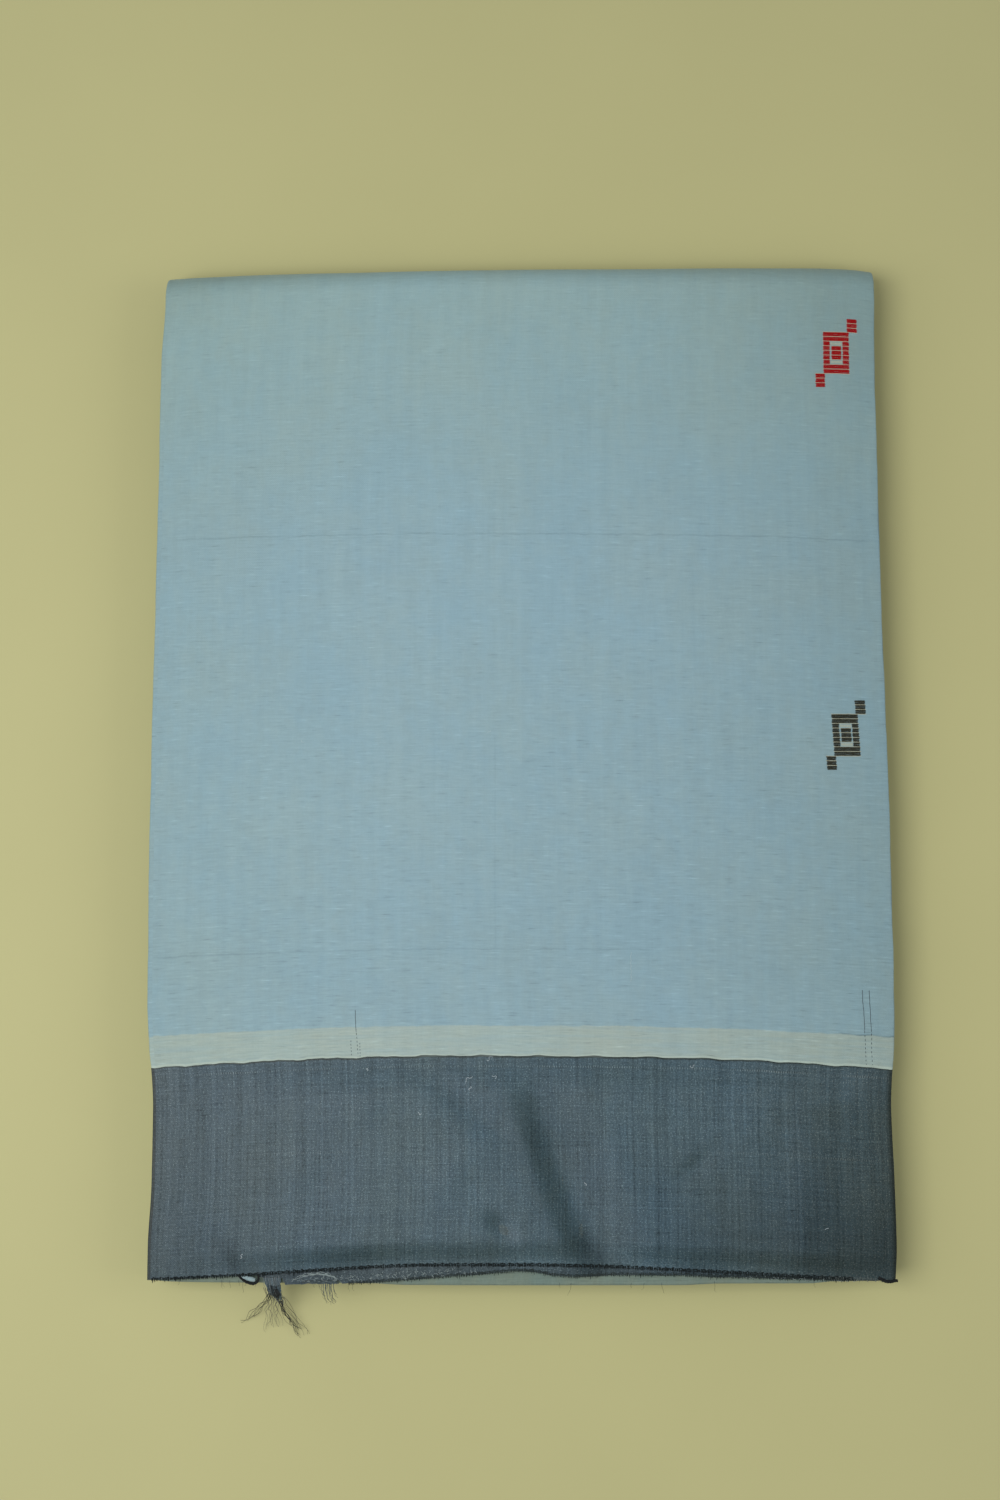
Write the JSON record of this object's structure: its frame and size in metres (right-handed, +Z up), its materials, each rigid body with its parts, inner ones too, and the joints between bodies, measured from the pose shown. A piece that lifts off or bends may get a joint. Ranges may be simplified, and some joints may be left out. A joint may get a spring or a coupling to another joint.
{
  "type": "folded sari",
  "caption": "Light-blue handloom cotton sari with a slate-blue end, folded flat into a rectangular bundle, with a raw cut end and a small thread tuft.",
  "frame": {"origin": "middle of the whole part's footprint, on the surface that it lies on", "axes": "+Y along the bundle towards its head fold, away from the slate end; +Z up from the surface; +X across the bundle"},
  "size_m": [0.2964, 0.4346, 0.023],
  "materials": {
    "inner_cloth": "matt handloom cotton, light blue, in shade between the folds",
    "blue_cotton": "matt handloom cotton, light grey-blue with slub streaks and a pale woven band",
    "slate_cotton": "matt handloom cotton, slate blue with fine warp streaks",
    "pale_blue_cotton": "matt handloom cotton, pale blue",
    "slate_thread": "loose cotton threads, dark grey"
  },
  "bodies": {
    "root": {"hidden_layers": "inner_cloth", "top_stretch": "blue_cotton", "slate_end_upper": "slate_cotton", "slate_end_lower": "slate_cotton", "under_fold": "pale_blue_cotton", "thread_tuft": "slate_thread", "short_threads": "slate_thread", "curled_end": "pale_blue_cotton"}
  },
  "joints": []
}
